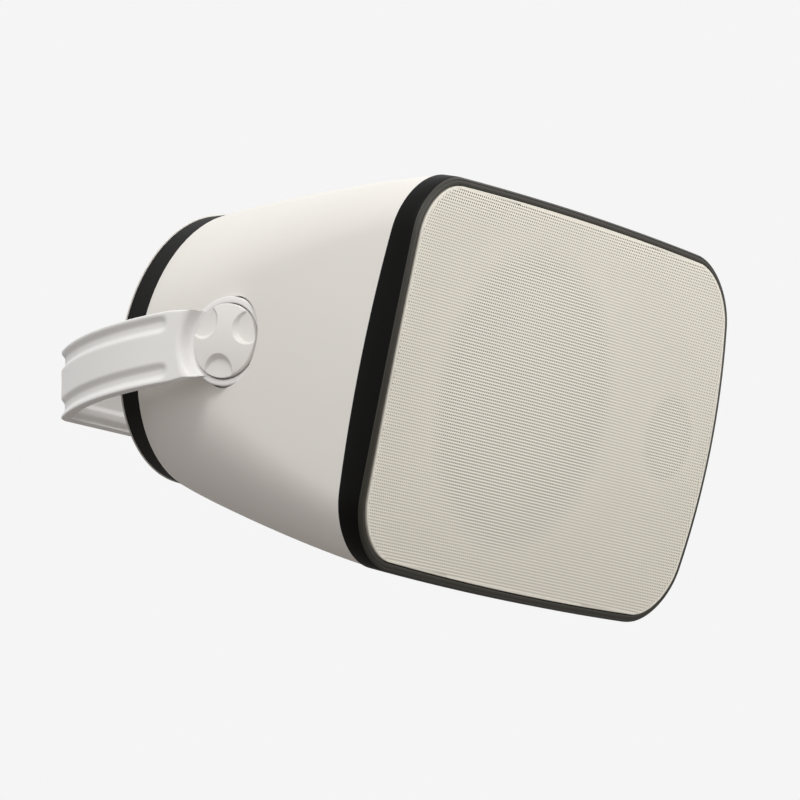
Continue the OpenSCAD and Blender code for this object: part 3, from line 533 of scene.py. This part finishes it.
# Inside of the dish round the knob: past the knob's rim, and past the ring's lip
DISH = ((0.6, -5), (0.6, -0.5), (0.75, -0.15), (1.1, 0), (1.6, 0.08), (2.2, 0.3), (2.8, 0.7), (3.4, 1.25),
        (3.9, 1.9), (4.4, 2.7), (4.9, 3.6), (5.4, 4.4), (6.0, 5.0), (6.8, 5.45), (7.8, 5.75), (9.2, 6.1),
        (11, 6.7), (11, 14))
arm_at = {v: on_bow(v)[0] for v in (26, 31, 46)}
for side in (-1, 1):
    ring = lathe("ring", [(0, RING_IN), (RING_R - 1, RING_IN), (RING_R, RING_IN + 1), (RING_R, LIP_OUT - 0.7),
                          (RING_R - 0.2, LIP_OUT - 0.2), (RING_R - 0.7, LIP_OUT), (0, LIP_OUT)], on_pivot(side), 160)
    post = slab("post", side, [(RING_IN, 10), (ARM_HALF - 1, 10), (ARM_HALF - 1.6, 30), (RING_IN, 30)])
    cut(post, disc("trim", POCKET_R - 0.2, RING_IN - 1, ARM_HALF, on_pivot(side), 160), "INTERSECT")
    tie = slab("tie", side, [
        (TIE_IN, 12), (ARM_HALF - 1.5, 12), (arm_at[26] - 1.5, 26), (arm_at[31] - 2.2, 31), (arm_at[46] - 3.2, 46),
        (arm_at[46] - STRAP_T + 0.2, 46), (TIE_IN, 28)])
    for block in (ring, post, tie):
        cut(bracket, block, "UNION")
    dish = [(0, LIP_OUT - 5)] + [(KNOB_R + r, LIP_OUT + u) for r, u in DISH] + [(0, LIP_OUT + 14)]
    cut(bracket, lathe("dish", dish, on_pivot(side), 160))
    cut(bracket, disc("hole", STUD_HOLE, 80, 130, on_pivot(side), 64))
for x, r in WALL_HOLES:
    cut(bracket, disc("hole", r, -8, 2, lambda a, b, u, x=x: Vector((x + a, u, b)) / 1000, 48))
finish_mesh(bracket, strap_skin, 34)
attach(bracket, "bracket")
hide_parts("bracket")

# Knobs. Turned plastic caps in the colour of the bracket, domed and round edged, with three
# flat-floored recesses for the fingers that run out at the rim. Each turns with the steel
# stud that it is moulded on, in the brass bush of the shell.

KNOB_EDGE, KNOB_BACK, KNOB_DOME, KNOB_ROUND = ARM_HALF - 4.6, RING_IN + 3.2, 1.8, 0.7
RECESS_AT, RECESS_TURNS = 16.4, (28, 148, 268)
RECESS = ((0, -0.8), (7.3, -0.8), (7.6, -0.72), (7.85, -0.5), (9.8, 1.55), (10.6, 2.4), (10.6, 9), (0, 9))

knob_skin = material("knob_skin", (0.80, 0.785, 0.76), 0.44, grain=1200, bump=0.06, tone=0.01, edge=0.0008)
knob_profile = [(0, KNOB_BACK), (KNOB_R - 0.6, KNOB_BACK), (KNOB_R, KNOB_BACK + 0.6)]
for a in range(0, 90, 15):
    knob_profile.append((KNOB_R - KNOB_ROUND + KNOB_ROUND * math.cos(math.radians(a)),
                         KNOB_EDGE - 0.75 + 0.75 * math.sin(math.radians(a))))
for i in range(15):
    out = 1 - i / 14
    knob_profile.append(((KNOB_R - KNOB_ROUND) * out, KNOB_EDGE + KNOB_DOME * (1 - out ** 2)))
for side, node in ((-1, "knob_left"), (1, "knob_right")):
    knob = lathe(node + "_cap", knob_profile, beside(side), 160)
    for turn in RECESS_TURNS:
        up, back = RECESS_AT * math.sin(math.radians(turn)), RECESS_AT * math.cos(math.radians(turn))
        cut(knob, lathe("recess", [(r, KNOB_EDGE + u) for r, u in RECESS], beside(side, up, back), 96))
    finish_mesh(knob, knob_skin, 30)
    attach(knob, node)
    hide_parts(node)

# Rear band. A sleeve of black rubber stretched round the shell's back end, where it stands
# out between shell and cover. It seals the joint and is held by its own pull.


def dress(mat, *names):
    """Gives CAD nodes their material."""
    for name in names:
        for place in nodes[name].material_slots:
            place.material = mat


dress(material("rear_band_skin", (0.0055, 0.0053, 0.005), 0.6, grain=700, bump=0.12, tone=0.08, edge=0.0006,
               specular=0.14), "rear_band")

# Rear cover. A pale moulded plastic dome that closes the back, with a spigot inside the band
# and a raised boss for the cable gland. Four screws in sunk holes hold it.

GLAND_Z, GLAND_HOLE, SCREW_CIRCLE = 36, 6.06, 63
# Radius and depth, from the middle of the inside over the spigot and the rim to the dome
COVER = [(0, 218.0), (56.5, 218.0), (56.5, 213.8), (59.1, 213.8), (59.1, 217.8), (68.2, 217.8), (68.7, 218.0),
         (68.8, 218.3), (68.5, 218.65), (67.9, 218.8)]
COVER += [(r, 218.8 + 2.2 * (1 - (r / 67.8) ** 2)) for r in (66.8, 65, 62, 58, 53, 47, 40, 32, 24, 16, 8, 0)]
COVER_BOSS = [(0, 218.3), (11.5, 218.3), (11.5, 220.7), (11.2, 221.0), (0, 221.0)]
COVER_SCREW = [(0, 210), (1.7, 210), (1.7, 218.4), (3.4, 218.4), (3.4, 219.0), (3.8, 219.4), (3.8, 226), (0, 226)]

cover_skin = material("rear_cover_skin", (0.74, 0.72, 0.69), 0.5, grain=1400, bump=0.10, tone=0.012, edge=0.0005)


def facing(cx=0.0, cz=0.0):
    """Place of a block turned about a line through the cabinet, where along is the depth."""
    return lambda a, b, u: cabinet(cx + a, u, cz + b)


cover = lathe("rear_cover_dome", COVER, facing(), 200)
cut(cover, lathe("boss", COVER_BOSS, facing(0, GLAND_Z), 96), "UNION")
cut(cover, disc("hole", GLAND_HOLE, 210, 226, facing(0, GLAND_Z), 64))
for turn in (45, 135, 225, 315):
    cx, cz = SCREW_CIRCLE * math.cos(math.radians(turn)), SCREW_CIRCLE * math.sin(math.radians(turn))
    cut(cover, lathe("hole", COVER_SCREW, facing(cx, cz), 48))
finish_mesh(cover, cover_skin, 30)
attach(cover, "cabinet")
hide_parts("rear_cover")

# Cable gland and screws. The gland is black plastic, screwed through the cover with a nut
# and a rubber seal under its cap. Screws and studs are zinc plated steel, brass holds the studs.

rubber = material("black_rubber", (0.012, 0.012, 0.012), 0.7, grain=1100, bump=0.2, tone=0.1, edge=0.0003)
dress(material("gland_skin", (0.014, 0.014, 0.014), 0.42, grain=1300, bump=0.05, tone=0.05, edge=0.0004),
      "cable_gland", "gland_cap", "gland_nut")
dress(rubber, "gland_seal", "friction_washer_left", "friction_washer_right")
dress(material("zinc_skin", (0.52, 0.53, 0.55), 0.34, 1.0, grain=2600, bump=0.10, tone=0.08, edge=0.0002),
      "rear_cover_screws", "baffle_screws", "woofer_screws", "tweeter_screws", "stud_left", "stud_right")
dress(material("brass_skin", (0.62, 0.40, 0.13), 0.3, 1.0, grain=2600, bump=0.08, tone=0.08),
      "bush_left", "bush_right")

# Woofer and its baffle. A plastic board carries a painted steel frame with a dark cone on a
# rubber surround and a cloth spider, over a copper coil in a magnet of ferrite and iron.

ferrite = material("ferrite_skin", (0.022, 0.022, 0.024), 0.55, grain=800, bump=0.3, tone=0.2, speck=0.5)
copper = material("copper_skin", (0.62, 0.25, 0.09), 0.35, 0.9, grain=3000, bump=0.3, tone=0.1)
dress(material("baffle_skin", (0.30, 0.29, 0.27), 0.6, grain=900, bump=0.15, tone=0.05), "baffle")
dress(material("frame_skin", (0.015, 0.015, 0.016), 0.4, 0.6, grain=1000, bump=0.2, tone=0.08), "woofer_frame")
dress(rubber, "woofer_gasket", "woofer_surround")
dress(material("cone_skin", (0.016, 0.016, 0.017), 0.5, grain=500, bump=0.35, tone=0.1, sheen=0.1),
      "woofer_cone", "woofer_dust_cap")
dress(material("spider_skin", (0.45, 0.22, 0.06), 0.85, grain=2400, bump=0.5, tone=0.1, sheen=0.4), "woofer_spider")
dress(copper, "woofer_voice_coil")
dress(material("iron_skin", (0.42, 0.43, 0.45), 0.38, 1.0, grain=2200, bump=0.1, tone=0.1),
      "woofer_top_plate", "woofer_yoke")
dress(ferrite, "woofer_magnet")

# Tweeter. A small dome of coated cloth in a black plastic plate, with a ferrite magnet at
# its back, screwed to the baffle beside the woofer.

dress(material("tweeter_skin", (0.014, 0.014, 0.014), 0.45, grain=1200, bump=0.1), "tweeter_plate")
dress(material("dome_skin", (0.03, 0.03, 0.035), 0.6, grain=3000, bump=0.4, sheen=0.3), "tweeter_dome")
dress(ferrite, "tweeter_magnet")

# Crossover, transformer and wadding. On the cover's inside are a lacquered board with a wound
# coil and capacitors, the line transformer and the terminals. Pale wadding damps the shell.

dress(material("board_skin", (0.01, 0.06, 0.025), 0.35, grain=600, bump=0.1, tone=0.15), "crossover_board")
dress(copper, "crossover_inductor")
dress(material("capacitor_skin", (0.02, 0.035, 0.12), 0.25, grain=400, bump=0.03, coat=0.4), "crossover_capacitors")
dress(material("core_skin", (0.08, 0.08, 0.09), 0.45, 0.7, grain=1500, bump=0.4, tone=0.15), "line_transformer")
dress(material("terminal_skin", (0.02, 0.11, 0.04), 0.45, grain=900, bump=0.05), "terminal_block")
dress(material("wadding_skin", (0.55, 0.52, 0.45), 0.95, grain=260, bump=1.0, tone=0.2, sheen=0.5, depth=0.002),
      "damping_pad")

# Light and background. Soft even studio light from above, the front and the left, over a
# plain near-white backdrop and a floor well below the part.

FLOOR_Z, FLOOR_REACH = -1.25, 60
MIDDLE = Vector((0.0, -0.16, -0.02))

scene = bpy.context.scene
scene.view_settings.view_transform = "Standard"
world = bpy.data.worlds.new("studio")
scene.world = world
world.use_nodes = True
tree = world.node_tree
tree.nodes.clear()
w_out = add(tree, "ShaderNodeOutputWorld")
w_mix = add(tree, "ShaderNodeMixShader")
w_path = add(tree, "ShaderNodeLightPath")
w_coord = add(tree, "ShaderNodeTexCoord")
w_split = add(tree, "ShaderNodeSeparateXYZ")
w_height = add(tree, "ShaderNodeMapRange", {"From Min": -1.0, "From Max": 1.0, "To Min": 0.12, "To Max": 0.93})
w_light = add(tree, "ShaderNodeBackground", {"Color": (1.0, 0.985, 0.965, 1.0)})
w_seen = add(tree, "ShaderNodeBackground", {"Color": (0.913, 0.913, 0.913, 1.0), "Strength": 1.0})
# Camera, glossy and transmission rays see the plain backdrop, and all others the soft light
w_mirrored = add(tree, "ShaderNodeMath", operation="MAXIMUM")
w_plain = add(tree, "ShaderNodeMath", operation="MAXIMUM")
for a, a_out, b, b_in in (
    (w_coord, "Generated", w_split, "Vector"),
    (w_split, "Z", w_height, "Value"),
    (w_height, "Result", w_light, "Strength"),
    (w_path, "Is Camera Ray", w_mirrored, 0),
    (w_path, "Is Glossy Ray", w_mirrored, 1),
    (w_mirrored, "Value", w_plain, 0),
    (w_path, "Is Transmission Ray", w_plain, 1),
    (w_plain, "Value", w_mix, 0),
    (w_light, "Background", w_mix, 1),
    (w_seen, "Background", w_mix, 2),
    (w_mix, "Shader", w_out, "Surface"),
):
    link(tree, a, a_out, b, b_in)

for name, place, size, power, color in (
    ("key", (-1.5, -0.7, 1.9), 1.0, 26.0, (1.0, 0.99, 0.975)),
    ("front", (0.5, -2.6, 0.7), 1.2, 40.0, (1.0, 0.985, 0.955)),
    ("side", (-2.7, -0.7, 0.1), 1.4, 6.5, (1.0, 0.99, 0.98)),
):
    light = bpy.data.lights.new(name, "AREA")
    light.shape, light.size, light.energy, light.color = "SQUARE", size, power, color
    lamp = bpy.data.objects.new(name, light)
    scene.collection.objects.link(lamp)
    lamp.location = place
    lamp.rotation_euler = (MIDDLE - Vector(place)).to_track_quat("-Z", "Y").to_euler()

floor_mesh = bpy.data.meshes.new("floor")
floor_mesh.from_pydata([(x * FLOOR_REACH, y * FLOOR_REACH, FLOOR_Z) for x, y in ((-1, -1), (1, -1), (1, 1), (-1, 1))],
                       [], [(0, 1, 2, 3)])
floor = bpy.data.objects.new("floor", floor_mesh)
scene.collection.objects.link(floor)
floor_paint, tree, f_out = blank_material("floor_paint")
f_shader = add(tree, "ShaderNodeBsdfDiffuse")
f_path = add(tree, "ShaderNodeLightPath")
# Pale to the camera, and darker to the light that bounces up to the part
f_tint = add(tree, "ShaderNodeMix", {"A": (0.27, 0.255, 0.245, 1.0), "B": (0.80, 0.80, 0.80, 1.0)}, data_type="RGBA")
link(tree, f_path, "Is Camera Ray", f_tint, "Factor")
link(tree, f_tint, "Result", f_shader, "Color")
link(tree, f_shader, "BSDF", f_out, "Surface")
floor.data.materials.append(floor_paint)

# Camera. A long lens a little below the part, in front of it and to its left, so that it
# looks up at the knob side and across the grille.

ROLL = -0.00437

camera_data = bpy.data.cameras.new("camera")
camera_data.lens = 238.13
camera_data.sensor_width = 36.0
camera_data.clip_end = 50.0
camera = bpy.data.objects.new("camera", camera_data)
scene.collection.objects.link(camera)
camera.location = (-2.12468, -1.60047, -0.48391)
look_at = Vector((-0.03141, -0.1859, -0.02263))
facing_it = (look_at - camera.location).to_track_quat("-Z", "Y")
camera.rotation_euler = (facing_it @ Quaternion((0.0, 0.0, 1.0), ROLL)).to_euler()
scene.camera = camera
